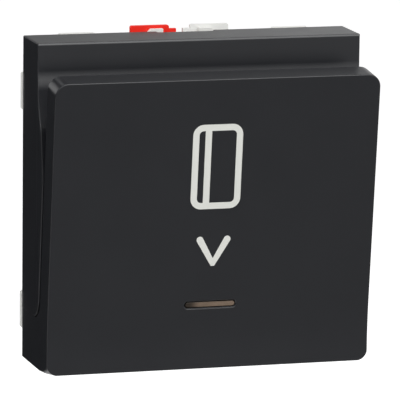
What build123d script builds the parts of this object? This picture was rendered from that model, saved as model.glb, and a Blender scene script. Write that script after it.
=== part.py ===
"""Hotel key card switch: a square two-module wall device that a card, left in its slot, holds on.

Millimetres. X to the right as seen from the room, Y into the wall, Z up. The origin is the centre of
the module's square aperture, on the plane where its ledge meets the support frame.
"""
import os
from math import atan, cos, pi, radians, sin, tan

from build123d import *

# Overall size, as seen from the room
aperture_size = 45.0
front_side_gap = 0.1
front_top_gap = 0.05
front_bottom_gap = 1.25
edge_softness = 0.15
side_draft = 0.45

# Collar behind the slot
collar_depth = 7.6
collar_wall = 1.5
collar_corner_radius = 2.6
sweep_start = 17.0
sweep_radius = 11.0
sweep_angle = 28.0
swell_radius = 2.0
lead_in_angle = 9.5
crest_height = 4.0
crest_radius = 4.0
collar_notch_width = 8.0
collar_notch_depth = 0.9
collar_rib_spacing = 15.5
collar_rib_width = 1.0
collar_rib_depth = 1.1
seam_gap = 0.05

# Leaning panel and foot, one moulding
panel_tilt = 6.4
panel_thickness = 4.0
panel_drop = 4.03
panel_corner_radius = 1.8
panel_wall = 1.5
panel_bend_radius = 60.0
panel_rib_spacing = 7.4
panel_rib_width = 1.0
foot_forward = 13.2
foot_height = 6.8
foot_front_height = 5.35
foot_inset = 0.1
foot_wall = 1.5
foot_corner_radius = 1.6
foot_corner_start = 9.5
foot_corner_least = 0.06
foot_corner_growth = 0.3
slot_heel_radius = 3.0

# Card slot
card_thickness = 0.76
card_clearance = 0.2
guide_plate_thickness = 1.2
guide_plate_clearance = 0.08
guide_plate_chamfer = 0.5
guide_plate_rise = 3.2

# Indicator window and light guide
window_width = 7.05
window_height = 0.9
window_bevel = 0.15
window_rise = 9.25
light_guide_gap = 0.12
light_guide_recess = 0.15
light_guide_thickness = 1.1
light_guide_head = 1.2
light_guide_clearance = 0.3
light_guide_end_gap = 1.5

# Ledge plate of the mechanism
ledge_thickness = 1.6
ledge_width_outside_pan = 1.6
seat_step = 0.6
lug_height = 0.6
lug_width = 5.1
lug_spacing = 29.8
lug_bevel = 0.2
lug_thickness = 1.0
ledge_corner_radius = 0.6
lug_margin = 0.5

# Pan behind the ledge
pan_depth = 22.4
pan_wall = 1.5
pan_back_wall = 1.8
pan_corner_radius = 2.0
pan_rim_depth = 6.9
pan_side_lean = 4.0
pan_end_lean = 1.7
pan_back_chamfer = 0.9
label_recess_width = 14.0
label_recess_height = 9.0
label_recess_depth = 0.4

# Snap arms and latches
arm_thickness = 1.2
arm_width = 4.0
arm_hook = 0.7
arm_play = 0.2
hook_length = 1.3
hook_gap = 0.08
collar_arm_from_latch = 6.5
collar_arm_inset = 4.2
collar_arm_root = 4.0
foot_arm_side = 12.5
foot_arm_root = 5.0
foot_arm_lift = 1.25
latch_from_wall = 4.3
latch_width = 3.6
latch_reach = 6.4
latch_hook = 1.1
latch_window_play = 0.2
claw_rise = 4.6
claw_width = 3.4
claw_height = 1.0
claw_start = 2.15
claw_length = 3.4
claw_slit = 0.6

# Tower that carries the lever
tower_wall = 1.3
tower_play_above = 0.4
tower_play_below = 0.8
tower_reach = 6.4
pivot_forward = 4.8
pivot_height = 7.5
pin_radius = 1.0
pin_ear_clearance = 0.01
pin_hub_clearance = 0.05
cradle_rib_width = 1.2
cradle_rib_rise = 5.5
cradle_play = 0.05

# Card lever
lever_swing = 9.0
lever_width = 7.0
hub_radius = 2.4
hub_slim_radius = 1.6
hub_play = 0.3
arm_front_forward = 7.1
arm_back_forward = 2.5
arm_tail_forward = 4.0
nose_reach = 1.3
nose_drop = 15.2
nose_radius = 0.6
nose_root_drop = 11.0
nose_underside_drop = 16.1
tail_drop = 16.7
nose_side_play = 0.5
nose_low_play = 1.5
nose_high_play = 0.3

# Torsion spring of the lever
spring_wire_radius = 0.22
spring_coil_radius = 2.25
spring_turn_gap = 0.16
spring_end_play = 0.022
spring_turns = 3
spring_wire_sides = 6
spring_leg = 2.8
spring_peg_radius = 0.4
spring_peg_length = 0.5
spring_peg_drop = 2.4

# Microswitch
switch_width = 6.4
switch_depth = 10.2
switch_length = 19.8
switch_wall = 0.9
switch_front = 0.8
plunger_drop = 9.0
plunger_from_foot = 8.3
plunger_radius = 1.0
plunger_collar_radius = 1.6
plunger_collar_length = 0.5
plunger_tail_bevel = 0.2
plunger_clearance = 0.06
plunger_gap = 0.12
touch_gap = 0.05
blade_thickness = 0.4
blade_width = 3.0
blade_below_lid = 1.1
blade_foot_gap = 0.7
contact_radius = 0.8
contact_height = 0.4
contact_inset = 0.9
strip_thickness = 0.4
strip_width = 3.2
strip_length = 2.7
leg_width = 2.0
leg_length = 3.0
leg_offset = 1.2
make_travel_play = 0.05
switch_post_width = 2.4
switch_post_height = 9.0

# Terminals, one in each quarter
terminal_spacing = 8.36
wire_from_edge = 6.4
wire_hole_radius = 1.6
wire_tube_radius = 2.7
wire_tube_start = 16.0
wire_funnel = 0.6
test_slot_width = 2.4
test_slot_height = 0.9
test_slot_from_wire = 2.95
busbar_width = 3.0
busbar_thickness = 0.8
busbar_from_wire = 1.5
busbar_start = 3.2
busbar_end = 15.5
link_thickness = 0.6
link_side = 1.2
link_width = 1.2
link_foot_height = 1.2
busbar_rib_width = 1.2
chamber_wall = 0.8
chamber_side = 7.8
chamber_start = 9.0
shelf_thickness = 0.8
shelf_start = 8.0

# Clamp springs
clamp_thickness = 0.4
clamp_width = 3.0
clamp_ear_width = 5.3
clamp_base_from_wire = 3.9
clamp_bend_radius = 1.2
clamp_bend_depth = 13.0
clamp_base_start = 8.2
clamp_crown_depth = 5.2
clamp_tip_depth = 1.5
clamp_ear_depth = 3.6
clamp_crown_gap = 0.1

# Release buttons
button_width = 5.4
button_front = 1.0
button_depth = 3.0
button_rise = 0.4
button_plate = 0.6
button_back_rise = 0.8
button_travel = 1.5
button_play = 0.15
button_step_width = 1.0
button_step_drop = 0.5
button_shoulder = 0.45
button_leg_width = 0.85
button_leg_gap = 0.2
button_softness = 0.25
ledge_notch_width = 16.6
peg_width = 2.2
peg_side = 3.6
peg_front = 0.2
peg_back = 0.85
peg_chamfer = 0.5

# Indicator board
board_width = 18.0
board_depth = 8.5
board_thickness = 1.0
board_forward = 10.0
led_width = 3.2
led_depth = 1.6
led_height = 1.6
led_setback = 0.1
resistor_radius = 0.8
resistor_length = 4.2
resistor_side = 5.4
resistor_forward = 6.6
capacitor_width = 3.4
capacitor_depth = 2.4
capacitor_height = 1.9
capacitor_forward = 3.2
lead_radius = 0.5
lead_sides = 8
lead_side = 8.4
lead_forward = 6.75
lead_turn_depth = 6.2
lead_bend_radius = 1.0
lead_hole_play = 0.3

# Shared fits
overrun = 2.0

# Places that follow from the sizes above
tilt = radians(panel_tilt)
aperture_half = aperture_size / 2
front_half = aperture_half - front_side_gap
front_top = aperture_half - front_top_gap
front_bottom = front_bottom_gap - aperture_half
foot_top = front_bottom + foot_height
collar_bottom = foot_top + seam_gap
panel_top = front_top - panel_drop
panel_bottom = front_bottom + foot_front_height
panel_top_forward = foot_forward + (panel_top - panel_bottom) * tan(tilt)
card_gap = card_thickness + card_clearance
ledge_half = aperture_half - lug_height
pan_half = ledge_half - ledge_width_outside_pan
pan_inner = pan_half - pan_wall
latch_rise = pan_inner - latch_from_wall
collar_arm_rise = latch_rise - collar_arm_from_latch
wire_rise = pan_half - wire_from_edge
test_slot_rise = wire_rise + test_slot_from_wire
busbar_rise = wire_rise + busbar_from_wire
clamp_base = wire_rise - clamp_base_from_wire
button_top = aperture_half + button_rise
pan_back = pan_depth
pan_floor = pan_depth - pan_back_wall
terminal_side = terminal_spacing / 2


def ahead(distance):
    """Y of a point this far in front of the collar's rear plane."""
    return -ledge_thickness - distance


def panel_front(height):
    """How far the panel's front face, carried on straight, stands forward at a height."""
    return panel_top_forward - (panel_top - height) * tan(tilt)


def panel_rear(height):
    """How far the panel's rear face stands forward at a height."""
    return panel_front(height) - panel_thickness / cos(tilt)


def slot_rear(height):
    """How far the collar's card face stands forward at a height."""
    return panel_rear(height) - card_gap / cos(tilt)


def span(middle, width):
    """Low and high limits of a width about its middle."""
    return (middle - width / 2, middle + width / 2)


def block(x, y, z):
    """A box given by its limits along X, Y and Z."""
    sizes = [high - low for low, high in (x, y, z)]
    middles = [(high + low) / 2 for low, high in (x, y, z)]
    return Pos(*middles) * Box(*sizes)


def rod_along_x(radius, x, y, z):
    """A cylinder between two limits along X."""
    return Pos(sum(x) / 2, y, z) * Rot(0, 90, 0) * Cylinder(radius, x[1] - x[0])


def rod_along_y(radius, x, y, z):
    """A cylinder between two limits along Y."""
    return Pos(x, sum(y) / 2, z) * Rot(90, 0, 0) * Cylinder(radius, y[1] - y[0])


def across(outline, x):
    """A side view, drawn as (Y, Z), carried between two limits along X."""
    return Pos(sum(x) / 2, 0, 0) * extrude(Plane.YZ * outline, (x[1] - x[0]) / 2, both=True)


def polygon(*points):
    """A face with straight sides through the given points."""
    return make_face(Polyline(*points, close=True))


def rounded_corner(face, point, radius):
    """The face with its corner at the point rounded."""
    nearest = face.vertices().sort_by(lambda corner: (corner.center() - Vector(*point)).length)[0]
    return fillet(nearest, radius)


def pairs(shape, about):
    """A shape and its mirror image."""
    return shape + mirror(shape, about=about)


def in_quarter(shape, side, level):
    """A shape drawn in the right upper quarter, moved to the quarter with these signs."""
    moved = shape if side > 0 else mirror(shape, about=Plane.YZ)
    return moved if level > 0 else mirror(moved, about=Plane.XY)


# The panel's own frame: X across, Y up the slope, Z out of its front face, zero on its rear face
panel_plane = Plane(
    origin=(0, ahead(panel_rear(0)), 0), x_dir=(1, 0, 0), z_dir=(0, -cos(tilt), -sin(tilt))
)
panel_top_slope = (panel_top + panel_thickness * sin(tilt)) / cos(tilt)


def slope(height):
    """Distance up the panel's slope of a height on its rear face."""
    return height / cos(tilt)


def panel_block(x, up, out):
    """A box given by its limits in the panel's own frame."""
    return panel_plane.location * block(x, up, out)


# Heights on the panel that several pieces share
window_height_place = front_bottom + window_rise
guide_plate_bottom = foot_top + guide_plate_rise
pocket_half = front_half - panel_wall
pocket_depth = panel_thickness - panel_wall

# The lever's nose, measured down from its pivot
nose_height = pivot_height - nose_drop
nose_tip_forward = panel_rear(nose_height) + nose_reach
nose_window_half = lever_width / 2 + nose_side_play
swing = radians(lever_swing)

# The spring's legs lie behind two pegs, one on the lever and one on the tower
spring_peg_offset = spring_coil_radius - spring_wire_radius - spring_peg_radius - touch_gap
spring_pitch = 2 * spring_wire_radius + spring_turn_gap
spring_leg_lean = spring_leg * spring_pitch / (2 * pi * spring_coil_radius)
spring_room = (
    spring_turns * spring_pitch
    + 2 * (spring_leg_lean + spring_wire_radius + touch_gap)
    + spring_end_play
)

# The indicator board lies on the floor of the foot
board_low = front_bottom + foot_wall
board_top = board_low + board_thickness
lead_height = board_top + lead_radius

# Places in the microswitch
switch_face = ahead(switch_front)
switch_back = switch_face + switch_depth
plunger_height = pivot_height - plunger_drop
switch_low = plunger_height - plunger_from_foot
switch_high = switch_low + switch_length
switch_side = switch_width / 2
plunger_travel = plunger_drop * tan(swing) + (pivot_forward - arm_back_forward) * (1 / cos(swing) - 1)
plunger_tip = ahead(arm_back_forward) + plunger_gap
plunger_tail = switch_face + switch_wall + plunger_collar_length + switch_wall / 2
blade_face = plunger_tail + touch_gap
blade_pivot_height = switch_high - switch_wall - blade_below_lid
blade_pivot_depth = blade_face + blade_thickness / 2
blade_foot = switch_low + switch_wall + blade_foot_gap
blade_arm = blade_pivot_height - plunger_height
blade_swing = atan(plunger_travel / blade_arm)
contact_level = blade_foot + contact_inset
leg_end = switch_back + leg_length

# The tower is as wide as the lever and its spring, and as tall as the switch and the lever's hub
tower_width = lever_width + 2 * (spring_room + tower_wall)
tower_top = max(switch_high, pivot_height + hub_radius) + tower_play_above + tower_wall
tower_bottom = -(switch_low - tower_play_below - tower_wall)

# The blade meets the make contact at the end of its swing
make_face_depth = (
    blade_pivot_depth
    + (blade_thickness / 2 + contact_height) * cos(blade_swing)
    + (blade_pivot_height - contact_level + contact_radius) * sin(blade_swing)
    + make_travel_play
)


def collar_outline(back, bottom, corner_radius):
    """Side view of the collar, from its rear edge round its swept card face."""
    sweep = radians(sweep_angle)
    lead_in = tan(radians(lead_in_angle))
    hollow_end = (collar_depth + sweep_radius * (1 - cos(sweep)), sweep_start - sweep_radius * sin(sweep))
    crest_forward = slot_rear(crest_height)
    room = crest_forward - hollow_end[0] - (hollow_end[1] - crest_height) * lead_in
    length = room / (sin(sweep) - cos(sweep) * lead_in)
    start = (ahead(collar_depth), sweep_start)
    middle = (ahead(hollow_end[0]), hollow_end[1])
    swell = (ahead(hollow_end[0] + length * sin(sweep)), hollow_end[1] - length * cos(sweep))
    crest = (ahead(crest_forward), crest_height)
    heel = (ahead(slot_rear(bottom)), bottom)
    upper = Polyline((back, bottom), (back, front_top), (ahead(collar_depth), front_top), start)
    hollow = TangentArc(start, middle, tangent=(0, -1))
    lower = Polyline(middle, swell, crest, heel, (back, bottom))
    face = make_face(upper.edges() + hollow.edges() + lower.edges())
    face = rounded_corner(face, swell, swell_radius)
    face = rounded_corner(face, crest, crest_radius)
    return rounded_corner(face, heel, corner_radius) if corner_radius else face


def side_half(forward):
    """Half width of the shell's drafted sides at a distance in front of the ledge."""
    return front_half - forward * tan(radians(side_draft))


def drafted_sides():
    """Envelope whose sides draw in slightly towards the front, so that a shell leaves its mould."""
    front = ahead(panel_top_forward)
    outline = polygon(
        (-side_half(0), ahead(0)),
        (side_half(0), ahead(0)),
        (side_half(panel_top_forward), front),
        (-side_half(panel_top_forward), front),
    )
    return extrude(outline, aperture_size, both=True)


def rear_frame():
    """Collar: an open-backed shell whose swept front wall leads the card down into the slot."""
    whole = (-front_half, front_half)
    body = across(collar_outline(ahead(0), collar_bottom - overrun, 0), whole) & drafted_sides()
    shown = body.edges().filter_by(
        lambda edge: edge.center().Y < ahead(0) - edge_softness
        and edge.center().Z > collar_bottom - overrun + edge_softness
        and (abs(edge.center().X) > edge_softness or edge.center().Z > front_top - edge_softness)
    )
    body = fillet(shown, edge_softness)
    body = body & across(collar_outline(ahead(0), collar_bottom, collar_corner_radius), whole)
    inside = offset(
        collar_outline(overrun, collar_bottom, collar_corner_radius), -collar_wall, kind=Kind.INTERSECTION
    )
    inner_half = front_half - collar_wall
    cavity = across(inside, (-inner_half, inner_half))
    ribs = Part()
    for side in (-1, 1):
        rib = block(
            span(side * collar_rib_spacing, collar_rib_width),
            (ahead(foot_forward), ahead(0)),
            (collar_bottom, front_top),
        )
        ribs += rib - across(
            offset(inside, -collar_rib_depth, kind=Kind.INTERSECTION), (-inner_half, inner_half)
        )
    body = body - cavity + (ribs & cavity)
    body -= block(
        (-nose_window_half, nose_window_half),
        (ahead(foot_forward), ahead(collar_depth - collar_rib_depth)),
        (
            pivot_height - nose_underside_drop - nose_low_play,
            pivot_height - nose_root_drop + nose_high_play,
        ),
    )
    body -= block(
        (-collar_notch_width / 2, collar_notch_width / 2),
        (ahead(collar_notch_depth), ahead(0) + overrun),
        (front_top - collar_wall - overrun, front_top + overrun),
    )
    for side in (-1, 1):
        for level in (-1, 1):
            body += in_quarter(collar_arm(), side, level)
    return body


def collar_arm():
    """One of the collar's four snap arms, in the right upper quarter."""
    low = front_half - collar_arm_inset - arm_thickness
    high = front_half - collar_arm_inset
    width = span(collar_arm_rise, arm_width)
    catch = seat_step + hook_gap
    arm = block((low, high), (ahead(collar_arm_root), catch + hook_length), width)
    root = block((low, front_half - collar_wall), (ahead(collar_arm_root), ahead(arm_play)), width)
    hook = Plane.XY * polygon(
        (low, catch), (low - arm_hook, catch), (low, catch + hook_length)
    )
    return arm + root + Pos(0, 0, width[0]) * extrude(hook, arm_width)


def front_cover():
    """Panel and foot in one shell, open at the back of the panel and at the back of the foot."""
    bend = (ahead(foot_forward), panel_bottom)
    heel = (ahead(panel_rear(foot_top)), foot_top)
    outline = polygon(
        (ahead(foot_inset), front_bottom),
        (ahead(foot_forward), front_bottom),
        bend,
        (ahead(panel_top_forward), panel_top),
        (
            ahead(panel_top_forward - panel_thickness * cos(tilt)),
            panel_top + panel_thickness * sin(tilt),
        ),
        heel,
        (ahead(foot_inset), foot_top),
    )
    outline = rounded_corner(outline, bend, panel_bend_radius)
    outline = rounded_corner(outline, heel, slot_heel_radius)
    body = across(outline, (-front_half, front_half)) & drafted_sides()
    top = body.faces().sort_by(Axis.Z)[-1]
    ends = top.edges().filter_by(lambda edge: abs(edge.center().X) > edge_softness)
    body = fillet(ends, panel_corner_radius)
    front_faces = body.faces().filter_by(lambda face: face.normal_at().Y < -cos(radians(sweep_angle)))
    outer = front_faces.edges().filter_by(
        lambda edge: abs(edge.center().X) > edge_softness
        or edge.center().Z > panel_top - edge_softness
        or edge.center().Z < front_bottom + edge_softness
    )
    body = fillet(outer, edge_softness)
    for side in (-1, 1):
        body -= in_quarter(foot_corner(), side, 1)
    return body - cover_hollows() + cover_ribs() - indicator_window() + foot_arms()


def foot_corner():
    """What the rounding of a lower front corner takes away: it grows towards the front."""
    def spandrel(distance, radius):
        corner = (side_half(distance), front_bottom)
        along = (corner[0] - radius, corner[1])
        up = (corner[0], corner[1] + radius)
        centre = (corner[0] - radius, corner[1] + radius)
        half = radius * sin(radians(45))
        waist = (centre[0] + half, centre[1] - half)
        face = make_face(
            Line(along, corner).edges() + Line(corner, up).edges()
            + ThreePointArc(up, waist, along).edges()
        )
        return Plane((0, ahead(distance), 0), x_dir=(1, 0, 0), z_dir=(0, -1, 0)) * face

    waist = (foot_corner_start + foot_forward) / 2
    return loft(
        [
            spandrel(foot_corner_start, foot_corner_least),
            spandrel(waist, foot_corner_radius * foot_corner_growth),
            spandrel(foot_forward, foot_corner_radius),
        ],
        ruled=True,
    )


def cover_hollows():
    """The pocket behind the panel, the hollow of the foot and the light guide's way between them."""
    pocket = panel_block(
        (-pocket_half, pocket_half),
        (slope(guide_plate_bottom), panel_top_slope - panel_wall),
        (-overrun, pocket_depth),
    )
    foot = block(
        (-front_half + foot_wall, front_half - foot_wall),
        (ahead(foot_forward - foot_wall), 0),
        (front_bottom + foot_wall, foot_top - foot_wall),
    )
    way_half = window_width / 2 + light_guide_clearance
    way = panel_block(
        (-way_half, way_half),
        (slope(foot_top - foot_wall - overrun), slope(guide_plate_bottom + overrun)),
        (guide_plate_thickness, pocket_depth),
    )
    return pocket + foot + way


def cover_ribs():
    """Upright ribs behind the panel's face: the guide plate lies on them."""
    ribs = Part()
    for place in (-2, -1, 1, 2):
        ribs += panel_block(
            span(place * panel_rib_spacing, panel_rib_width),
            (slope(guide_plate_bottom), panel_top_slope - panel_wall),
            (guide_plate_thickness, pocket_depth),
        )
    return ribs


def window_plane():
    """Frame on the panel's front face at the middle of the indicator window."""
    return panel_plane.location * Pos(0, slope(window_height_place), panel_thickness)


def indicator_window():
    """The bevelled stadium that is cut through the panel's face."""
    hole = Pos(0, 0, -panel_wall - overrun) * extrude(
        SlotOverall(window_width, window_height), panel_wall + overrun + overrun
    )
    flare = extrude(
        SlotOverall(window_width + 2 * window_bevel, window_height + 2 * window_bevel),
        -window_bevel,
        taper=45,
    )
    return window_plane() * (hole + flare)


def foot_arms():
    """Two snap arms from the floor of the foot, which reach back through the ledge plate."""
    floor = front_bottom + foot_wall
    low = floor + foot_arm_lift
    high = low + arm_thickness
    catch = seat_step + hook_gap
    width = span(foot_arm_side, arm_width)
    arm = block(width, (ahead(foot_arm_root), catch + hook_length), (low, high))
    root = block(width, (ahead(foot_arm_root), ahead(foot_inset + arm_play)), (floor, high))
    hook = across(
        polygon((catch, high), (catch, high + arm_hook), (catch + hook_length, high)), width
    )
    return pairs(arm + root + hook, Plane.YZ)


def card_guide_plate():
    """Front wall of the slot, let into the back of the panel, with a hole for the lever's nose."""
    half = pocket_half - guide_plate_clearance
    low = slope(guide_plate_bottom) + guide_plate_clearance
    high = panel_top_slope - panel_wall - guide_plate_clearance
    plate = panel_block((-half, half), (low, high), (0, guide_plate_thickness))
    lip = plate.edges().filter_by(Axis.X).sort_by(Axis.Z)[-1]
    plate = chamfer(lip, guide_plate_chamfer)
    plate -= panel_block(
        (-nose_window_half, nose_window_half),
        (slope(nose_height - nose_low_play), slope(nose_height + nose_low_play + nose_radius)),
        (-overrun, guide_plate_thickness + overrun),
    )
    return plate


def light_guide():
    """Clear bar: its head fills the window and its leg runs down to the lamp in the foot."""
    leg_out = guide_plate_thickness + light_guide_gap
    half = window_width / 2 - light_guide_gap
    leg = panel_block(
        (-half, half),
        (slope(board_low + light_guide_end_gap), slope(window_height_place + light_guide_head)),
        (leg_out, leg_out + light_guide_thickness),
    )
    head_length = panel_thickness - light_guide_recess - leg_out
    head = Pos(0, 0, -light_guide_recess) * extrude(
        SlotOverall(window_width - 2 * light_guide_gap, window_height - 2 * light_guide_gap), -head_length
    )
    return leg + window_plane() * head


def ledge_plate():
    """Square ledge with eight bevelled lugs and a raised seat for the pan."""
    plate = block(
        (-ledge_half, ledge_half), (-ledge_thickness, 0), (-ledge_half, ledge_half)
    )
    plate = fillet(plate.edges().filter_by(Axis.Y), ledge_corner_radius)
    lug = polygon(
        (-lug_width / 2, 0),
        (-lug_width / 2, aperture_half - lug_bevel),
        (-lug_width / 2 + lug_bevel, aperture_half),
        (lug_width / 2 - lug_bevel, aperture_half),
        (lug_width / 2, aperture_half - lug_bevel),
        (lug_width / 2, 0),
    )
    inner = ledge_half - lug_margin
    for turn in (0, 90, 180, 270):
        for side in (-1, 1):
            outline = Rot(0, 0, turn) * Pos(side * lug_spacing / 2, 0, 0) * lug
            solid = Pos(0, lug_thickness - ledge_thickness, 0) * extrude(Plane.XZ * outline, lug_thickness)
            plate += solid - block((-inner, inner), (-overrun - ledge_thickness, overrun), (-inner, inner))
    seat = block((-pan_half, pan_half), (0, seat_step), (-pan_half, pan_half))
    seat = fillet(seat.edges().filter_by(Axis.Y), pan_corner_radius)
    return plate + seat


def mechanism_cover():
    """Ledge plate with the tower for the lever, guide pegs for the buttons and latches for the pan."""
    tower_half = tower_width / 2
    body = ledge_plate()
    for level in (-1, 1):
        body -= in_quarter(
            block(
                (-ledge_notch_width / 2, ledge_notch_width / 2),
                (-ledge_thickness - overrun, seat_step),
                (pan_half, ledge_half + overrun),
            ),
            1,
            level,
        )
    body += block(
        (-tower_half, tower_half), (ahead(tower_reach), seat_step), (-tower_bottom, tower_top)
    )
    body -= block(
        (-tower_half + tower_wall, tower_half - tower_wall),
        (ahead(tower_reach + overrun), seat_step + overrun),
        (-tower_bottom + tower_wall, tower_top - tower_wall),
    )
    body += cradle_ribs()
    body += rod_along_x(
        spring_peg_radius,
        (-tower_half, -tower_half + tower_wall + spring_peg_length),
        ahead(pivot_forward) + spring_peg_offset,
        pivot_height + spring_peg_drop,
    )
    body -= rod_along_x(
        pin_radius + pin_ear_clearance, (-ledge_half, ledge_half), ahead(pivot_forward), pivot_height
    )
    body -= ledge_openings()
    for side in (-1, 1):
        for level in (-1, 1):
            body += in_quarter(pan_latch(), side, level)
            body += in_quarter(guide_peg(), side, level)
    return body


def cradle_ribs():
    """Four ribs inside the tower that hold the microswitch by its flanks."""
    ribs = Part()
    for level in (-1, 1):
        rib = block(
            (switch_width / 2 + cradle_play, tower_width / 2 - tower_wall),
            (ahead(switch_front), seat_step),
            span(level * cradle_rib_rise, cradle_rib_width),
        )
        ribs += pairs(rib, Plane.YZ)
    return ribs


def ledge_openings():
    """Holes in the ledge plate for the snap arms and the lamp's leads."""
    through = (-ledge_thickness - overrun, seat_step + overrun)
    outer = front_half - collar_arm_inset
    holes = Part()
    for side in (-1, 1):
        for level in (-1, 1):
            slit = block(
                (outer - arm_thickness - arm_play, outer + arm_play),
                through,
                span(collar_arm_rise, arm_width + 2 * arm_play),
            )
            holes += in_quarter(slit, side, level)
    low = front_bottom + foot_wall + foot_arm_lift
    slot = block(
        span(foot_arm_side, arm_width + 2 * arm_play),
        through,
        (low - arm_play, low + arm_thickness + arm_play),
    )
    lead = rod_along_y(lead_radius + lead_hole_play, lead_side, through, lead_height)
    return holes + pairs(slot + lead, Plane.YZ)


def pan_latch():
    """A latch that clicks into a window in the pan's side wall, in the right upper quarter."""
    outer = pan_inner - arm_play
    width = span(latch_rise, latch_width)
    arm = block((outer - arm_thickness, outer), (0, latch_reach), width)
    hook = Plane.XY * polygon(
        (outer, latch_reach - hook_length),
        (outer + latch_hook, latch_reach - hook_length),
        (outer, latch_reach),
    )
    return arm + Pos(0, 0, width[0]) * extrude(hook, latch_width)


def guide_peg():
    """Peg that stands in front of a release button, in the right upper quarter."""
    outline = polygon(
        (peg_side - peg_width / 2, pan_inner),
        (peg_side - peg_width / 2, aperture_half),
        (peg_side + peg_width / 2 - peg_chamfer, aperture_half),
        (peg_side + peg_width / 2, aperture_half - peg_chamfer),
        (peg_side + peg_width / 2, pan_inner),
    )
    peg = extrude(Plane.XZ * outline, peg_back - peg_front)
    foot = block(
        span(peg_side, peg_width), (0, peg_back), (pan_half - pan_wall, pan_half)
    )
    return Pos(0, peg_back, 0) * peg + foot


def pan_bulk(inset, end, corner_radius):
    """Bulk of the pan, inset on all sides: square behind the ledge, then leaning in to its back."""
    rim = pan_half - inset
    lean = (end - pan_rim_depth) / (pan_back - pan_rim_depth)

    def outline(inward):
        waist = (pan_rim_depth, rim)
        corner = (end, rim - lean * inward)
        low = [(depth, -half) for depth, half in (corner, waist, (seat_step, rim))]
        return polygon((seat_step, rim), waist, corner, *low)

    ends = across(outline(pan_end_lean), (-pan_half, pan_half))
    sides = Rot(0, 90, 0) * across(outline(pan_side_lean), (-pan_half, pan_half))
    bulk = ends & sides
    if corner_radius:
        corners = bulk.edges().filter_by(
            lambda edge: min(abs(edge.center().X), abs(edge.center().Z)) > pan_half / 2
            and seat_step < edge.center().Y < end
        )
        bulk = fillet(corners, corner_radius)
    return bulk


def mechanism_base():
    """Rear pan: round wire entries with funnels, test slots, snap claws and the terminal chambers."""
    bulk = pan_bulk(0, pan_back, pan_corner_radius)
    back = bulk.faces().sort_by(Axis.Y)[-1]
    bulk = chamfer(back.edges(), pan_back_chamfer)
    body = bulk - pan_bulk(pan_wall, pan_floor, 0)
    body -= block(
        (-label_recess_width / 2, label_recess_width / 2),
        (pan_back - label_recess_depth, pan_back + overrun),
        (-label_recess_height / 2, label_recess_height / 2),
    )
    body += switch_post()
    for side in (-1, 1):
        for level in (-1, 1):
            body += in_quarter(chamber_walls(), side, level) & bulk
            body -= in_quarter(chamber_holes(), side, level)
            body += in_quarter(support_claw(), side, level)
    return body


def switch_post():
    """Post on the pan's floor that the back of the microswitch rests against."""
    back = ahead(switch_front) + switch_depth
    middle = -leg_offset - switch_post_width / 2
    height = -plunger_drop / 4
    return block(
        span(middle, switch_post_width), (back, pan_floor), span(height, switch_post_height)
    )


def chamber_walls():
    """Side wall, spring shelf, wire tube and busbar rib of one terminal, right upper quarter."""
    side = block(
        span(chamber_side, chamber_wall),
        (chamber_start, pan_floor),
        (clamp_base - shelf_thickness, pan_inner),
    )
    shelf = block(
        span(terminal_side, clamp_width + 2 * chamber_wall),
        (shelf_start, pan_floor),
        (clamp_base - shelf_thickness, clamp_base),
    )
    tube = rod_along_y(wire_tube_radius, terminal_side, (wire_tube_start, pan_floor), wire_rise)
    rib = block(
        span(terminal_side, busbar_rib_width),
        (shelf_start, busbar_end),
        (busbar_rise + busbar_thickness, pan_inner),
    )
    return side + shelf + tube + rib


def chamber_holes():
    """Wire entry, its funnel, the test slot, button slot and windows, right upper quarter."""
    entry = rod_along_y(wire_hole_radius, terminal_side, (0, pan_back + overrun), wire_rise)
    mouth = 2 * (wire_hole_radius + wire_funnel)
    funnel = Pos(terminal_side, pan_back, wire_rise) * extrude(
        Plane.XZ * Rectangle(mouth, mouth), wire_funnel, taper=45
    )
    test = block(
        span(terminal_side, test_slot_width), (pan_floor - overrun, pan_back + overrun),
        span(test_slot_rise, test_slot_height),
    )
    inner_edge = terminal_side - button_width / 2 - button_step_width
    button = block(
        (inner_edge - button_play, terminal_side + button_width / 2 + button_play),
        (0, button_front + button_depth + button_play),
        (pan_inner - overrun, pan_half + overrun),
    )
    window = block(
        (pan_inner - overrun, pan_half + overrun),
        (latch_reach - hook_length - hook_gap, latch_reach + latch_window_play),
        span(latch_rise, latch_width + 2 * latch_window_play),
    )
    slits = block(
        (pan_inner - overrun, pan_half + overrun),
        (claw_start, claw_start + claw_length + claw_slit),
        span(claw_rise, claw_width + 2 * claw_slit),
    )
    return entry + funnel + test + button + window + slits


def support_claw():
    """Springy tongue with a claw that snaps behind the support frame, right upper quarter."""
    width = span(claw_rise, claw_width)
    tongue = block((pan_inner, pan_half), (claw_start, claw_start + claw_length + claw_slit), width)
    claw = Plane.XY * polygon(
        (pan_half, claw_start),
        (pan_half + claw_height, claw_start),
        (pan_half, claw_start + claw_length),
    )
    return tongue + Pos(0, 0, width[0]) * extrude(claw, claw_width)


def lever_outline():
    """Side view of the lever: arm, sloped nose and rounded tip."""
    arm_front = ahead(arm_front_forward)
    under = pivot_height - nose_underside_drop
    tip_out = nose_tip_forward
    face = polygon(
        (ahead(pivot_forward + hub_radius), pivot_height),
        (arm_front, pivot_height - nose_root_drop),
        (ahead(tip_out), nose_height + nose_radius),
        (ahead(tip_out), under),
        (arm_front, under),
        (arm_front, pivot_height - tail_drop),
        (ahead(arm_tail_forward), pivot_height - tail_drop),
        (ahead(arm_back_forward), pivot_height - plunger_drop - plunger_collar_radius),
        (ahead(pivot_forward - hub_radius), pivot_height),
    )
    for height in (nose_height + nose_radius, under):
        face = rounded_corner(face, (ahead(tip_out), height), nose_radius)
    return face


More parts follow.
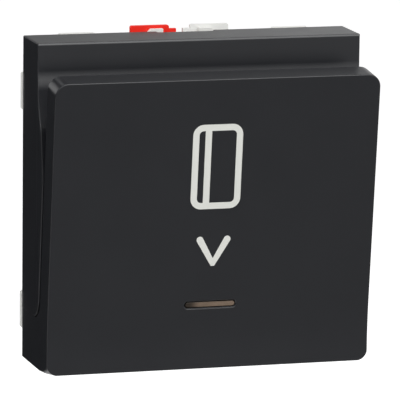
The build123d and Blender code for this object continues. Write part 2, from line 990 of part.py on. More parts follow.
def card_lever():
    """Lever that the card pushes back: a hub on the pin, a flat arm and a nose across the slot."""
    hub_half = tower_width / 2 - tower_wall - hub_play
    pivot = (ahead(pivot_forward), pivot_height)
    body = across(lever_outline(), span(0, lever_width))
    body += rod_along_x(hub_radius, (-lever_width / 2, hub_half), *pivot)
    body += rod_along_x(hub_slim_radius, (-hub_half, hub_half), *pivot)
    body += rod_along_x(
        spring_peg_radius,
        (-lever_width / 2 - spring_peg_length, 0),
        ahead(pivot_forward) + spring_peg_offset,
        pivot_height - spring_peg_drop,
    )
    return body - rod_along_x(pin_radius + pin_hub_clearance, (-ledge_half, ledge_half), *pivot)


def lever_pin():
    """Steel pin through the tower's ears."""
    return rod_along_x(pin_radius, span(0, tower_width), ahead(pivot_forward), pivot_height)


def lever_spring():
    """Torsion spring round the slim end of the hub, one leg on the lever and one on the tower."""
    coil = Helix(spring_pitch, spring_pitch * spring_turns, spring_coil_radius)
    first = Line(coil @ 0 - (coil % 0) * spring_leg, coil @ 0)
    last = Line(coil @ 1, coil @ 1 + (coil % 1) * spring_leg)
    path = Wire([first.edge(), coil.edge(), last.edge()])
    section = Plane(origin=path @ 0, z_dir=path % 0) * RegularPolygon(spring_wire_radius, spring_wire_sides)
    spring = sweep(section, path=path)
    spring = mirror(Rot(0, 90, 0) * Rot(0, 0, 90) * spring, about=Plane.XY)
    end = -tower_width / 2 + tower_wall + spring_leg_lean + spring_wire_radius + touch_gap
    return Pos(end, ahead(pivot_forward), pivot_height) * spring


def microswitch_case():
    """Open tray of the microswitch with a guide for the plunger and slots for the legs."""
    lid_side = switch_side - switch_wall
    body = block((-switch_side, lid_side), (switch_face, switch_back), (switch_low, switch_high))
    body -= block(
        (-switch_side + switch_wall, switch_side),
        (switch_face + switch_wall, switch_back - switch_wall),
        (switch_low + switch_wall, switch_high - switch_wall),
    )
    body -= rod_along_y(
        plunger_radius + plunger_clearance,
        0,
        (switch_face - overrun, switch_face + switch_wall + touch_gap),
        plunger_height,
    )
    for side, height in ((-1, common_level()), (1, make_level()), (1, rest_level())):
        body -= block(
            span(side * leg_offset, leg_width),
            (switch_back - switch_wall - touch_gap, switch_back + overrun),
            span(height, strip_thickness),
        )
    return body


def microswitch_lid():
    """Side plate that closes the microswitch."""
    return block(
        (switch_side - switch_wall, switch_side), (switch_face, switch_back), (switch_low, switch_high)
    )


def common_level():
    """Height of the common contact's strip: just above the blade's top end."""
    return blade_pivot_height + blade_thickness / 2 + touch_gap + strip_thickness / 2


def rest_level():
    """Height of the rest contact's leg: on the floor of the case."""
    return switch_low + switch_wall + strip_thickness / 2


def make_level():
    """Height of the make contact's leg: level with the top of its contact plate."""
    return blade_foot + strip_length - strip_thickness / 2


def leg(side, height, front):
    """Flat leg from inside the case out through its back."""
    return block(span(side * leg_offset, leg_width), (front, leg_end), span(height, strip_thickness))


def common_contact():
    """Common strip that the blade rocks under."""
    return leg(-1, common_level(), blade_face)


def contact_plate(face, back, low):
    """Upright contact plate with a round contact on one side."""
    return block(span(0, strip_width), (face, back), (low, blade_foot + strip_length))


def make_contact():
    """Contact that the blade meets when a card is in."""
    plate_front = make_face_depth + contact_height
    plate = contact_plate(plate_front, plate_front + strip_thickness, blade_foot)
    button = rod_along_y(contact_radius, 0, (make_face_depth, plate_front), contact_level)
    return plate + button + leg(1, make_level(), plate_front)


def rest_contact():
    """Contact that the blade rests on when no card is in."""
    face = blade_face - contact_height - touch_gap
    front = switch_face + switch_wall + touch_gap
    plate = contact_plate(front, front + strip_thickness, rest_level() - strip_thickness / 2)
    button = rod_along_y(contact_radius, 0, (front, face), contact_level)
    return plate + button + leg(1, rest_level(), front)


def contact_blade():
    """Moving blade, round where it rocks, with a contact on both sides of its free end."""
    blade = block(
        span(0, blade_width),
        (blade_face, blade_face + blade_thickness),
        (blade_foot, blade_pivot_height),
    )
    blade += rod_along_x(
        blade_thickness / 2, span(0, blade_width), blade_pivot_depth, blade_pivot_height
    )
    contacts = rod_along_y(
        contact_radius,
        0,
        (blade_face - contact_height, blade_face + blade_thickness + contact_height),
        contact_level,
    )
    return blade + contacts


def switch_plunger():
    """Plunger between the lever and the blade, kept in by its collar."""
    collar_front = switch_face + switch_wall + touch_gap
    stem = rod_along_y(plunger_radius, 0, (plunger_tip, plunger_tail), plunger_height)
    stem = chamfer(stem.edges().sort_by(Axis.Y)[0], plunger_radius / 2)
    tail = stem.faces().sort_by(Axis.Y)[-1]
    stem = chamfer(tail.edges(), plunger_radius * 3 / 4, plunger_tail_bevel, reference=tail)
    collar = rod_along_y(
        plunger_collar_radius, 0, (collar_front, collar_front + plunger_collar_length), plunger_height
    )
    return stem + collar


def busbar_clamp():
    """Part of a busbar that the wire is pressed against, right upper quarter."""
    return block(
        span(terminal_side, busbar_width),
        (busbar_start, busbar_end),
        (busbar_rise, busbar_rise + busbar_thickness),
    )


def busbar_with_link(foot_level):
    """A busbar with a link down to the switch leg at the given height, right upper quarter."""
    depth = (leg_end, leg_end + link_thickness)
    top = busbar_rise + busbar_thickness
    foot = span(foot_level, link_foot_height)
    link = block(span(link_side, link_width), depth, (foot[0], top))
    bridge = block((link_side, terminal_side), depth, (busbar_rise, top))
    pad = block((leg_offset - leg_width / 2, link_side), depth, foot)
    return busbar_clamp() + link + bridge + pad


def clamp_spring():
    """Bent strip: a base on its shelf, a bend, and a tongue up to the busbar, right upper quarter."""
    base = clamp_base + clamp_thickness / 2
    turn_top = base + 2 * clamp_bend_radius
    crown = busbar_rise - clamp_crown_gap - clamp_thickness / 2
    bend_mid = (clamp_bend_depth + clamp_bend_radius, base + clamp_bend_radius)
    line = (
        Line((clamp_base_start, base), (clamp_bend_depth, base)).edges()
        + ThreePointArc((clamp_bend_depth, base), bend_mid, (clamp_bend_depth, turn_top)).edges()
        + Polyline(
            (clamp_bend_depth, turn_top), (clamp_crown_depth, crown), (clamp_tip_depth, crown)
        ).edges()
    )
    spring = across(trace(Wire(line), clamp_thickness), span(terminal_side, clamp_width))
    ears = block(
        span(terminal_side, clamp_ear_width),
        (clamp_tip_depth, clamp_ear_depth),
        (crown - clamp_thickness / 2, crown + clamp_thickness / 2),
    )
    return spring + ears


def release_button():
    """Button that pushes a clamp spring open: a thin stepped cap and two legs, right upper quarter."""
    back = button_front + button_depth
    half = button_width / 2
    shoulder_top = pan_inner - button_play
    shoulder_low = busbar_rise + busbar_thickness + button_travel + touch_gap
    step = terminal_side - half - button_step_width
    outline = polygon(
        (step, shoulder_low),
        (step, button_top - button_step_drop),
        (terminal_side - half, button_top - button_step_drop),
        (terminal_side - half, button_top),
        (terminal_side + half, button_top),
        (terminal_side + half, shoulder_low),
    )
    for point in ((terminal_side - half, button_top), (terminal_side + half, button_top)):
        outline = rounded_corner(outline, point, button_softness)
    cap = Pos(0, back, 0) * extrude(Plane.XZ * outline, button_depth)
    cap -= block(
        span(terminal_side, 2 * button_width),
        (button_front + button_plate, back + overrun),
        (pan_half + button_back_rise, button_top + overrun),
    )
    shoulder = block(
        (terminal_side - half, terminal_side + half + button_shoulder),
        (button_front, back),
        (shoulder_low, shoulder_top),
    )
    leg_low = busbar_rise - clamp_crown_gap + button_leg_gap
    legs = Part()
    for side in (-1, 1):
        middle = terminal_side + side * (clamp_ear_width - button_leg_width) / 2
        legs += block(
            span(middle, button_leg_width), (clamp_tip_depth, clamp_ear_depth), (leg_low, shoulder_low)
        )
    return cap + shoulder + legs


def indicator_board():
    """Small circuit board on the floor of the foot."""
    return block(
        span(0, board_width),
        (ahead(board_forward), ahead(board_forward - board_depth)),
        (board_low, board_top),
    )


def indicator_led():
    """Lamp that shines forward into the light guide's leg, with a domed face."""
    front = ahead(board_forward - led_setback)
    body = block(span(0, led_width), (front, front + led_depth), (board_top, board_top + led_height))
    return chamfer(body.edges().filter_by(Axis.X).sort_by(Axis.Z)[-2:], led_setback)


def board_components():
    """Two dropper resistors and a capacitor on the board."""
    parts = Part()
    for side in (-1, 1):
        middle = side * resistor_side
        level = board_top + resistor_radius
        parts += rod_along_x(resistor_radius, span(middle, resistor_length), ahead(resistor_forward), level)
    parts += block(
        span(0, capacitor_width),
        span(ahead(capacitor_forward), capacitor_depth),
        (board_top, board_top + capacitor_height),
    )
    return parts


def led_leads():
    """Two insulated leads from the board through the ledge plate to the lower busbars."""
    busbar_side = terminal_side + busbar_width / 2
    busbar_level = -(busbar_rise + busbar_thickness / 2)
    route = FilletPolyline(
        (lead_side, ahead(lead_forward), lead_height),
        (lead_side, lead_turn_depth, lead_height),
        (lead_side, lead_turn_depth, busbar_level),
        (busbar_side, lead_turn_depth, busbar_level),
        radius=lead_bend_radius,
    )
    section = Plane(origin=route @ 0, z_dir=route % 0) * RegularPolygon(lead_radius, lead_sides)
    return pairs(sweep(section, path=route), Plane.YZ)


def save(name, shape):
    """Write one piece to its own file."""
    export_step(shape, os.path.join("parts", name + ".step"))


os.makedirs("parts", exist_ok=True)
terminals = {
    "line": (-1, 1, common_level()),
    "load": (1, 1, make_level()),
    "rest": (1, -1, -rest_level()),
    "neutral": (-1, -1, None),
}
for terminal, (side, level, foot_level) in terminals.items():
    busbar = busbar_clamp() if foot_level is None else busbar_with_link(foot_level)
    save("busbar_" + terminal, in_quarter(busbar, side, level))
    save("clamp_spring_" + terminal, in_quarter(clamp_spring(), side, level))
    save("release_button_" + terminal, in_quarter(release_button(), side, level))
for piece in (
    front_cover,
    card_guide_plate,
    light_guide,
    rear_frame,
    mechanism_cover,
    mechanism_base,
    card_lever,
    lever_pin,
    lever_spring,
    microswitch_case,
    microswitch_lid,
    switch_plunger,
    contact_blade,
    common_contact,
    make_contact,
    rest_contact,
    indicator_board,
    indicator_led,
    board_components,
    led_leads,
):
    save(piece.__name__, piece())
print("plunger travel", round(plunger_travel, 3), "blade swing", round(blade_swing, 4))
print("wire entries at", terminal_side, round(wire_rise, 3), "nose tip", round(nose_tip_forward, 3))
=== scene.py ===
"""Hotel key card switch: finishes, the printed sign, studio and camera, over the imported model."""
from math import cos, pi, radians, sin

import bmesh
import bpy
from mathutils import Matrix, Vector


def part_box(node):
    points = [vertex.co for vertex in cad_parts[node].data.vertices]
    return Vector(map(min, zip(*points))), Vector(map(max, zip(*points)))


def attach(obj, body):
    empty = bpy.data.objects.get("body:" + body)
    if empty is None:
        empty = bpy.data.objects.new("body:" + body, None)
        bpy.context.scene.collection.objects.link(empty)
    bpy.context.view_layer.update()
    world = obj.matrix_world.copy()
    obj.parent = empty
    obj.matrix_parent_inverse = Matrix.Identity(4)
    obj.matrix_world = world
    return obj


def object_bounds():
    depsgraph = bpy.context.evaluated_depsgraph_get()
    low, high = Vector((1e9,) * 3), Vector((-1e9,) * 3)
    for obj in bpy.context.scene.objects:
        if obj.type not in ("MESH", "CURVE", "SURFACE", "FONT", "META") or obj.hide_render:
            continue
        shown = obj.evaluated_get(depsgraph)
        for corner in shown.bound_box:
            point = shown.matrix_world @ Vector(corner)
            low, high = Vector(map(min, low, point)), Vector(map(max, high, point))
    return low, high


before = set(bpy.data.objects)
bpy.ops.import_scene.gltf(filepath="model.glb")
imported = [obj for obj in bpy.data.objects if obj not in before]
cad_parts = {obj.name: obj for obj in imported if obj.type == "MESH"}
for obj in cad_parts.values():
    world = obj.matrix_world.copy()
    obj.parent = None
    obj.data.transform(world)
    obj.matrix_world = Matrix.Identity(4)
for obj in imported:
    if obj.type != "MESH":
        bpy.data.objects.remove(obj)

MM = 0.001
cad_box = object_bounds()

# Camera: the angle, distance and framing of the photograph, in the frame of the part
camera_distance = 587.8 * MM
camera_target = Vector((2.412, -1.6, -0.850)) * MM
camera_yaw = radians(16.359)
camera_pitch = radians(10.429)
camera_roll = radians(0.686)
camera_sensor = 36.0
camera_lens = 389.54
camera_near = 10 * MM
camera_far = 20.0

# Lamps aimed at the device: name, place and size in metres, watts, and whether glosses mirror it
lamps = (
    ("key", (0.25, -0.75, 0.75), (1.0, 0.7), 10.5, True),
    ("left_fill", (-0.85, -0.35, 0.3), (0.5, 0.6), 3.6, False),
    ("overhead", (0, 0.05, 1.0), (0.7, 0.5), 2.5, False),
)
world_light = 0.25

# Floor, well under the device
floor_drop = 100 * MM
floor_half = 3.0
floor_glow = 0.6
floor_mottle = 300 * MM

# Studio cards that only glosses show: their lines on the floor, their heights and their glow
card_back = 150 * MM
card_front = -560 * MM
card_left = -600 * MM
card_right = 700 * MM
card_corner = -60 * MM
card_middle = -20 * MM
card_front_corner = -120 * MM
card_floor = -141 * MM
card_front_top = -30 * MM
card_horizon = 22 * MM
card_window_top = 84 * MM
card_corner_top = 112 * MM
card_grey_top = 160 * MM
card_left_top = 300 * MM
card_back_top = 600 * MM
card_mottle = 100 * MM
back_top_glow = 0.1
front_grey_glow = 0.45

# The grey card behind the top brightens along X less Z
grey_dark_at = -103 * MM
grey_light_at = 48 * MM
grey_light = 0.8

# Mats just over the floor, before the device
mat_lift = 1 * MM
mat_middle = -262 * MM
mat_near = -60 * MM
far_mat_glow = 0.24
near_mat_glow = 0.4

# The part of a noise's range that its values fill, and the samples that round an edge
noise_low = 0.3
noise_high = 0.7
edge_samples = 8

# Moulded plastic
tone_patch = 9 * MM
gloss_patch = 3 * MM
gloss_drift = 0.01
mould_grain = 0.12 * MM
mould_grain_depth = 0.002 * MM
mould_edge = 0.08 * MM
mould_ior = 1.4
cover_ior = 1.45

# Sheet metal and wire
metal_streak = 0.2 * MM
metal_streak_depth = 0.002 * MM
metal_streak_gloss = 0.08
metal_tarnish = 2 * MM
metal_edge = 0.05 * MM
metal_along_y = (1, 0.1, 1)

# Smoked bar: painted shade at its left end, in shares of its length, and a painted shadow of the
# window's recess under its top edge
bar_painted_shade_to = 0.08
bar_unshaded_from = 0.34
bar_mottle = 1.5 * MM
bar_ripple = 0.6 * MM
bar_ripple_depth = 0.004 * MM
bar_edge = 0.1 * MM
window_top = -12.02 * MM
window_shadow_band = 0.2 * MM

# Lamp's resin and circuit board
resin_mottle = 0.5 * MM
resin_scatter = 0.5 * MM
track_length = 1.6 * MM
track_gap = 0.06
track_depth = 0.01 * MM

# Relief of the collar's front wall: each swell is on where its steps along Y and along Z are
brow_across = (-9.0 * MM, -9.18 * MM)
brow_up = (18.8 * MM, 16.1 * MM)
brow_depth = 0.47 * MM
rim_across = (-9.08 * MM, -9.18 * MM)
rim_up = (22.1 * MM, 22.42 * MM)
rim_depth = -0.085 * MM

# Printed sign on the panel: a card over an arrowhead that points the way a card goes in
sign_middle = 0.06 * MM
sign_line = 0.865 * MM
sign_height = 0.02 * MM
sign_merge = sign_height / 100
sign_grain_depth = 0.001 * MM
card_sign_width = 6.854 * MM
card_sign_bottom = 0.777 * MM
card_sign_height = 11.537 * MM
card_sign_corner = 1.45 * MM
stripe_offset = 1.7 * MM
stripe_width = 0.88 * MM
arrow_line = 0.93 * MM
arrow_half_width = 1.88 * MM
arrow_top = -3.455 * MM
arrow_bottom = -6.57 * MM
arrow_flat = -7.08 * MM
corner_steps = 8
ray_lead = 10 * MM

# Colour sockets of Blender's Mix node, whose names repeat
MIX_FIRST, MIX_SECOND, MIX_RESULT = 6, 7, 2


def srgb(code):
    """Linear colour of a screen colour such as 2D2E30."""
    values = [int(code[i:i + 2], 16) / 255 for i in (0, 2, 4)]
    return [v / 12.92 if v <= 0.04045 else ((v + 0.055) / 1.055) ** 2.4 for v in values] + [1.0]


def add_node(tree, kind, **settings):
    """Adds a node with these settings to a tree."""
    made = tree.nodes.new(kind)
    for key, value in settings.items():
        setattr(made, key, value)
    return made


def maths(tree, operation, first, second):
    """Result of one maths node for two sockets."""
    made = add_node(tree, "ShaderNodeMath", operation=operation)
    tree.links.new(first, made.inputs[0])
    tree.links.new(second, made.inputs[1])
    return made.outputs[0]


def add_mesh(name, mesh):
    """Turns a built mesh into an object of the scene."""
    data = bpy.data.meshes.new(name)
    mesh.to_mesh(data)
    mesh.free()
    made = bpy.data.objects.new(name, data)
    bpy.context.scene.collection.objects.link(made)
    return made


class Shader:
    """Small helper that builds one material's nodes."""

    def __init__(self, name):
        self.material = bpy.data.materials.new(name)
        self.material.use_nodes = True
        self.tree = self.material.node_tree
        self.surface = self.tree.nodes["Principled BSDF"]
        self.place = self.node("ShaderNodeTexCoord").outputs["Object"]

    def node(self, kind, **settings):
        return add_node(self.tree, kind, **settings)

    def link(self, out, into):
        self.tree.links.new(out, into)

    def set(self, **values):
        """Sets plain values of the surface, such as Specular_IOR_Level=0.4."""
        for key, value in values.items():
            self.surface.inputs[key.replace("_", " ")].default_value = value

    def feed(self, socket, out):
        """Links a socket of the surface."""
        self.link(out, self.surface.inputs[socket])

    def noise(self, size, detail=2.0, stretch=None):
        """Noise whose features are about this size, in metres."""
        place = self.place
        if stretch:
            mapping = self.node("ShaderNodeMapping")
            mapping.inputs["Scale"].default_value = stretch
            self.link(place, mapping.inputs["Vector"])
            place = mapping.outputs["Vector"]
        texture = self.node("ShaderNodeTexNoise")
        texture.inputs["Scale"].default_value = 1 / size
        texture.inputs["Detail"].default_value = detail
        texture.inputs["Roughness"].default_value = 0.5
        self.link(place, texture.inputs["Vector"])
        return texture.outputs["Fac"]

    def ramp(self, value, start, end, low=0.0, high=1.0, kind="LINEAR"):
        """The value, mapped from start..end to low..high and held at both ends."""
        mapped = self.node("ShaderNodeMapRange", interpolation_type=kind)
        mapped.inputs["From Min"].default_value = start
        mapped.inputs["From Max"].default_value = end
        mapped.inputs["To Min"].default_value = low
        mapped.inputs["To Max"].default_value = high
        self.link(value, mapped.inputs["Value"])
        return mapped.outputs["Result"]

    def between(self, noise, low=0.0, high=1.0):
        """A noise, spread over low..high."""
        return self.ramp(noise, noise_low, noise_high, low, high)

    def mix(self, factor, first, second):
        """A colour between two colours, each a list or a socket."""
        mixed = self.node("ShaderNodeMix", data_type="RGBA")
        self.link(factor, mixed.inputs["Factor"])
        for index, colour in ((MIX_FIRST, first), (MIX_SECOND, second)):
            if isinstance(colour, list):
                mixed.inputs[index].default_value = colour
            else:
                self.link(colour, mixed.inputs[index])
        return mixed.outputs[MIX_RESULT]

    def relief(self, value, depth, under=None):
        """Normal of a relief of this depth in metres, over another normal."""
        bump = self.node("ShaderNodeBump")
        bump.inputs["Strength"].default_value = 1.0
        bump.inputs["Distance"].default_value = depth
        self.link(value, bump.inputs["Height"])
        if under:
            self.link(under, bump.inputs["Normal"])
        return bump.outputs["Normal"]

    def bump(self, value, depth, edge=None):
        """Surface relief of this depth in metres, over edges rounded by this radius."""
        under = None
        if edge:
            rounding = self.node("ShaderNodeBevel", samples=edge_samples)
            rounding.inputs["Radius"].default_value = edge
            under = rounding.outputs["Normal"]
        self.feed("Normal", self.relief(value, depth, under))

    def along(self, axis):
        """Coordinate of the object along one axis."""
        parts = self.node("ShaderNodeSeparateXYZ")
        self.link(self.place, parts.inputs["Vector"])
        return parts.outputs[axis]

    def step(self, axis, start, end):
        """Smooth step from 0 to 1 between two places along an axis of the object."""
        return self.ramp(self.along(axis), start, end, kind="SMOOTHSTEP")

    def swell(self, across, up, depth):
        """Raises, or sinks, the surface where a step along Y and a step along Z are both on."""
        patch = self.times(self.step("Y", *across), self.step("Z", *up))
        under = self.surface.inputs["Normal"].links[0].from_socket
        self.feed("Normal", self.relief(patch, depth, under))

    def times(self, first, second):
        return maths(self.tree, "MULTIPLY", first, second)


def moulded(
    name, colour, shade, roughness,
    depth=mould_grain_depth, ior=mould_ior, edge=mould_edge, swells=(),
):
    """Moulded plastic: fine spark-eroded grain, slow drift of tone and of gloss, softened edges."""
    m = Shader(name)
    drift = m.between(m.noise(tone_patch, detail=3.0))
    m.feed("Base Color", m.mix(drift, srgb(colour), srgb(shade)))
    sheen = m.between(m.noise(gloss_patch), roughness - gloss_drift, roughness + gloss_drift)
    m.feed("Roughness", sheen)
    m.bump(m.noise(mould_grain), depth, edge)
    for across, up, height in swells:
        m.swell(across, up, height)
    m.set(IOR=ior)
    return m.material


def drawn_metal(name, colour, shade, roughness):
    """Rolled or drawn metal: fine streaks along Y and slight tarnish."""
    m = Shader(name)
    streaks = m.noise(metal_streak, detail=3.0, stretch=metal_along_y)
    tarnish = m.between(m.noise(metal_tarnish, detail=4.0))
    m.feed("Base Color", m.mix(tarnish, srgb(colour), srgb(shade)))
    low, high = roughness - metal_streak_gloss, roughness + metal_streak_gloss
    m.feed("Roughness", m.between(streaks, low, high))
    m.bump(streaks, metal_streak_depth, metal_edge)
    m.set(Metallic=1.0)
    return m.material


def smoked_clear():
    """Smoked clear bar, with painted shade towards its left end, where nothing lies behind it, and
    a painted shadow under its window's top edge.
    """
    m = Shader("smoked_clear")
    left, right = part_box("light_guide")[0].x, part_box("light_guide")[1].x
    length = right - left
    # Painted shade: the colour darkens to 2C241C towards the bar's left end and in a band under its
    # window's top edge, the shadow of the window's recess
    clear = m.step("X", left + length * bar_painted_shade_to, left + length * bar_unshaded_from)
    tone = m.mix(m.between(m.noise(bar_mottle)), srgb("6C5D4E"), srgb("7F6D5E"))
    lit = m.times(clear, m.step("Z", window_top, window_top - window_shadow_band))
    m.feed("Base Color", m.mix(lit, srgb("2C241C"), tone))
    m.bump(m.noise(bar_ripple), bar_ripple_depth, bar_edge)
    m.set(Roughness=0.32, Specular_IOR_Level=0.4)
    return m.material


def lamp_resin():
    """Pale resin of the lamp."""
    m = Shader("lamp_resin")
    m.feed("Base Color", m.mix(m.noise(resin_mottle), srgb("F2EED8"), srgb("E4DCBC")))
    m.set(Roughness=0.2, Subsurface_Weight=0.2, Subsurface_Scale=resin_scatter)
    return m.material


def board_lacquer():
    """Green circuit board with faint tracks under the lacquer."""
    m = Shader("board_lacquer")
    tracks = m.node("ShaderNodeTexBrick")
    tracks.inputs["Scale"].default_value = 1 / track_length
    tracks.inputs["Mortar Size"].default_value = track_gap
    m.link(m.place, tracks.inputs["Vector"])
    m.feed("Base Color", m.mix(tracks.outputs["Fac"], srgb("1D5A33"), srgb("2E7A48")))
    m.set(Roughness=0.3)
    m.bump(tracks.outputs["Fac"], track_depth)
    return m.material


def dress(material, nodes):
    """Gives nodes of the model their material."""
    for name in nodes:
        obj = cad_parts[name]
        obj.data.materials.clear()
        obj.data.materials.append(material)


def dress_nodes():
    """A finish for every node of the model."""
    anthracite = ("222326", "202124", 0.3)
    brow = (brow_across, brow_up, brow_depth)
    rim = (rim_across, rim_up, rim_depth)
    dress(moulded("anthracite", *anthracite, ior=cover_ior), ["front_cover"])
    collar = moulded("anthracite_collar", *anthracite, ior=cover_ior, swells=(brow, rim))
    dress(collar, ["rear_frame"])

    for name, colour, shade, roughness, nodes in (
        ("dark_inner", "17181A", "141517", 0.5, ["card_guide_plate", "microswitch_lid"]),
        ("light_grey", "E6E6E3", "E0E0DC", 0.45, ["mechanism_cover", "mechanism_base"]),
        ("lever_white", "E2E1DC", "D9D8D2", 0.4, ["card_lever", "switch_plunger"]),
        ("switch_black", "1B1B1D", "161618", 0.5, ["microswitch_case"]),
        ("release_red", "F02A1C", "E6271A", 0.4, ["release_button_line"]),
        ("release_grey", "ECECE9", "E7E7E4", 0.4, ["release_button_load", "release_button_rest"]),
        ("release_blue", "2B5FA8", "254F92", 0.4, ["release_button_neutral"]),
        ("component_tan", "9C7A52", "8A6A46", 0.35, ["board_components"]),
        ("lead_sleeve", "26262A", "1E1E22", 0.55, ["led_leads"]),
    ):
        dress(moulded(name, colour, shade, roughness), nodes)

    terminals = ("line", "load", "rest", "neutral")
    springs = ["clamp_spring_" + name for name in terminals] + ["lever_pin", "lever_spring"]
    contacts = ["common_contact", "make_contact", "rest_contact", "contact_blade"]
    busbars = ["busbar_" + name for name in terminals]
    dress(drawn_metal("spring_steel", "B8BABD", "A2A4A8", 0.3), springs)
    dress(drawn_metal("brass", "D0A85C", "B98F48", 0.35), contacts + busbars)
    dress(smoked_clear(), ["light_guide"])
    dress(board_lacquer(), ["indicator_board"])
    dress(lamp_resin(), ["indicator_led"])


def on_panel(x, z, height):
    """The point of the panel's front face at X and Z, and this height out of it."""
    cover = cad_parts["front_cover"]
    start = Vector((x, cad_box[0][1] - ray_lead, z))
    hit, place, normal, _ = cover.ray_cast(start, Vector((0, 1, 0)))
    assert hit, "the sign lies on the panel"
    return place + normal * height


def raised(name, ink, bands):
    """A printed piece a little proud of the panel: bands between two lines of (X, Z) points."""
    mesh = bmesh.new()
    for outer, inner, closed in bands:
        rows = [
            [mesh.verts.new(on_panel(x, z, height)) for x, z in line]
            for line, height in (
                (outer, 0.0), (outer, sign_height), (inner, sign_height), (inner, 0.0),
            )
        ]
        count = len(outer)
        for i in range(count if closed else count - 1):
            j = (i + 1) % count
            for first, second in zip(rows, rows[1:]):
                mesh.faces.new((first[i], first[j], second[j], second[i]))
    bmesh.ops.remove_doubles(mesh, verts=mesh.verts, dist=sign_merge)
    bmesh.ops.recalc_face_normals(mesh, faces=mesh.faces)
    piece = add_mesh(name, mesh)
    piece.data.materials.append(ink)
    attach(piece, "housing")


def rounded_loop(left, right, low, high, radius):
    """Points round a rectangle with rounded corners, anticlockwise from the right side's top."""
    points = []
    for turn, (x, z) in enumerate((
        (right - radius, high - radius), (left + radius, high - radius),
        (left + radius, low + radius), (right - radius, low + radius),
    )):
        for step in range(corner_steps + 1):
            angle = (turn + step / corner_steps) * pi / 2
            points.append((x + radius * cos(angle), z + radius * sin(angle)))
    return points


def card_sign(ink):
    """Outline of a card standing upright, with its stripe."""
    left = sign_middle - card_sign_width / 2
    right = left + card_sign_width
    low = card_sign_bottom
    high = low + card_sign_height
    inner_sides = (left + sign_line, right - sign_line, low + sign_line, high - sign_line)
    outer = rounded_loop(left, right, low, high, card_sign_corner)
    inner = rounded_loop(*inner_sides, card_sign_corner - sign_line)
    near, far = left + stripe_offset, left + stripe_offset + stripe_width
    ends = inner_sides[2:]
    stripe = ([(near, z) for z in ends], [(far, z) for z in ends], False)
    raised("card_sign", ink, [(outer, inner, True), stripe])


def arrow_sign(ink):
    """Arrowhead under the card: two strokes with round ends that meet in a flattened point."""
    half = arrow_line / 2
    slope = Vector((arrow_half_width, 0, arrow_top - arrow_bottom)).normalized()
    normal = Vector((slope.z, 0, -slope.x))
    end = Vector((arrow_half_width, 0, arrow_top))
    cap = []
    for step in range(2 * corner_steps + 1):
        angle = pi * step / (2 * corner_steps)
        cap.append(end + normal * half * cos(angle) + slope * half * sin(angle))
    foot_half = cap[0].x + (arrow_flat - cap[0].z) * slope.x / slope.z
    notch = arrow_bottom + half / slope.z
    outside = [Vector((foot_half, 0, arrow_flat))] + cap[:corner_steps + 1]
    inside = [Vector((0, 0, notch))] + cap[:corner_steps - 1:-1]
    bands = []
    for side in (-1, 1):
        outer, inner = (
            [(sign_middle + side * p.x, p.z) for p in line] for line in (outside, inside)
        )
        bands.append((outer, inner, False))
    foot = [(sign_middle - foot_half, arrow_flat), (sign_middle + foot_half, arrow_flat)]
    bands.append((foot, [(sign_middle, notch)] * 2, False))
    raised("arrow_sign", ink, bands)


def show_to_lens(tree, lit, shown, output):
    """Shows one shader to the camera, glosses and clear stuff, and the lit one elsewhere."""
    paths = add_node(tree, "ShaderNodeLightPath")
    seen = paths.outputs["Is Camera Ray"]
    for name in ("Is Glossy Ray", "Is Transmission Ray"):
        seen = maths(tree, "MAXIMUM", seen, paths.outputs[name])
    mixed = add_node(tree, "ShaderNodeMixShader")
    tree.links.new(seen, mixed.inputs["Fac"])
    tree.links.new(lit.outputs[0], mixed.inputs[1])
    tree.links.new(shown.outputs[0], mixed.inputs[2])
    tree.links.new(mixed.outputs[0], tree.nodes[output].inputs["Surface"])


def studio_world():
    """Soft even light from all round, white to the lens."""
    world = bpy.data.worlds.new("studio")
    world.use_nodes = True
    bpy.context.scene.world = world
    lit = world.node_tree.nodes["Background"]
    white = add_node(world.node_tree, "ShaderNodeBackground")
    for background, strength in ((lit, world_light), (white, 1.0)):
        background.inputs["Color"].default_value = (1.0, 1.0, 1.0, 1.0)
        background.inputs["Strength"].default_value = strength
    show_to_lens(world.node_tree, lit, white, "World Output")


def studio_floor():
    """Pale floor well under the device, which hangs at its own height as on a wall."""
    mesh = bmesh.new()
    bmesh.ops.create_grid(mesh, x_segments=1, y_segments=1, size=floor_half)
    floor = add_mesh("floor", mesh)
    floor.location.z = cad_box[0][2] - floor_drop
    m = Shader("floor_white")
    m.feed("Base Color", m.mix(m.noise(floor_mottle), srgb("F4F4F4"), srgb("F0F0F0")))
    m.set(Roughness=0.9)
    glow = m.node("ShaderNodeEmission")
    glow.inputs["Strength"].default_value = floor_glow
    both = m.node("ShaderNodeAddShader")
    m.link(m.surface.outputs[0], both.inputs[0])
    m.link(glow.outputs[0], both.inputs[1])
    show_to_lens(m.tree, m.surface, both, "Material Output")
    floor.data.materials.append(m.material)


def card(name, corners, glow=0.0, absorbs=False):
    """Studio card that the lens doesn't see: glosses mirror it, and it may take up stray light."""
    mesh = bmesh.new()
    mesh.faces.new([mesh.verts.new(corner) for corner in corners])
    made = add_mesh(name, mesh)
    m = Shader(name)
    m.feed("Base Color", m.mix(m.noise(card_mottle), srgb("080808"), srgb("0C0C0C")))
    m.set(Roughness=1.0, Specular_IOR_Level=0.0)
    m.set(Emission_Color=(1.0, 1.0, 1.0, 1.0), Emission_Strength=glow)
    made.data.materials.append(m.material)
    made.visible_camera = False
    made.visible_diffuse = absorbs
    made.visible_shadow = False
    return m


def standing(start, end, low, high):
    """Corners of an upright card over a line on the floor."""
    return [(*start, low), (*end, low), (*end, high), (*start, high)]


def lying(near, far):
    """Corners of a mat just over the floor, between two lines along X."""
    level = cad_box[0][2] - floor_drop + mat_lift
    return [
        (card_left, near, level), (card_right, near, level),
        (card_right, far, level), (card_left, far, level),
    ]


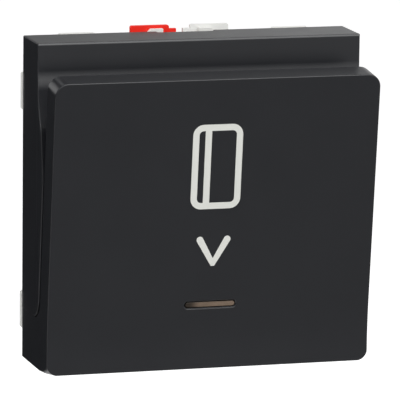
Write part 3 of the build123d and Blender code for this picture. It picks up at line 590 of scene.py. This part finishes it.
def studio_cards():
    """Black round the left, grey before the front up to the horizon, and grey behind the top."""
    back_left, front_left = (card_left, card_back), (card_left, card_front)
    front_right, back_right = (card_right, card_front), (card_right, card_back)
    front_corner = (card_front_corner, card_front)
    corner, middle = (card_corner, card_back), (card_middle, card_back)
    card("back_low", standing(back_left, corner, card_floor, card_horizon))
    card("back_high", standing(back_left, corner, card_window_top, card_grey_top))
    card("corner_black", standing(corner, middle, card_floor, card_corner_top))
    card("back_top", standing(back_left, back_right, card_grey_top, card_back_top), back_top_glow)
    card("left_black", standing(back_left, front_left, card_floor, card_left_top))
    card("front_black", standing(front_left, front_corner, card_floor, card_front_top))
    front_grey = standing(front_corner, front_right, card_floor, card_front_top)
    card("front_grey", front_grey, front_grey_glow)
    card("far_mat", lying(card_front, mat_middle), far_mat_glow, absorbs=True)
    card("near_mat", lying(mat_middle, mat_near), near_mat_glow, absorbs=True)
    m = card("back_grey", standing(middle, back_right, card_horizon, card_grey_top))
    slant = maths(m.tree, "SUBTRACT", m.along("X"), m.along("Z"))
    m.feed("Emission Strength", m.ramp(slant, grey_dark_at, grey_light_at, high=grey_light))


def studio_lights():
    """A large softbox high before the front, a weaker one at the left and one overhead."""
    for name, place, (width, height), watts, mirrored in lamps:
        lamp = bpy.data.lights.new(name, "AREA")
        lamp.shape = "RECTANGLE"
        lamp.size = width
        lamp.size_y = height
        lamp.energy = watts
        holder = bpy.data.objects.new(name, lamp)
        holder.location = place
        holder.rotation_euler = (-Vector(place)).to_track_quat("-Z", "Y").to_euler()
        holder.visible_glossy = mirrored
        bpy.context.scene.collection.objects.link(holder)


def studio_camera():
    """Camera at the photograph's angle."""
    forward = Vector((
        sin(camera_yaw) * cos(camera_pitch),
        cos(camera_yaw) * cos(camera_pitch),
        -sin(camera_pitch),
    ))
    level = Vector((cos(camera_yaw), -sin(camera_yaw), 0))
    upright = level.cross(forward)
    right = cos(camera_roll) * level + sin(camera_roll) * upright
    up = -sin(camera_roll) * level + cos(camera_roll) * upright
    data = bpy.data.cameras.new("camera")
    data.sensor_width = camera_sensor
    data.lens = camera_lens
    data.clip_start = camera_near
    data.clip_end = camera_far
    camera = bpy.data.objects.new("camera", data)
    turned = Matrix((right, up, -forward)).transposed().to_4x4()
    camera.matrix_world = Matrix.Translation(camera_target - forward * camera_distance) @ turned
    bpy.context.scene.collection.objects.link(camera)
    bpy.context.scene.camera = camera


bpy.context.scene.view_settings.view_transform = "Standard"
studio_camera()
studio_world()
studio_floor()
studio_cards()
studio_lights()
dress_nodes()
sign_ink = moulded("sign_ink", "DFE0DA", "DBDCD6", 0.5, depth=sign_grain_depth, edge=None)
card_sign(sign_ink)
arrow_sign(sign_ink)
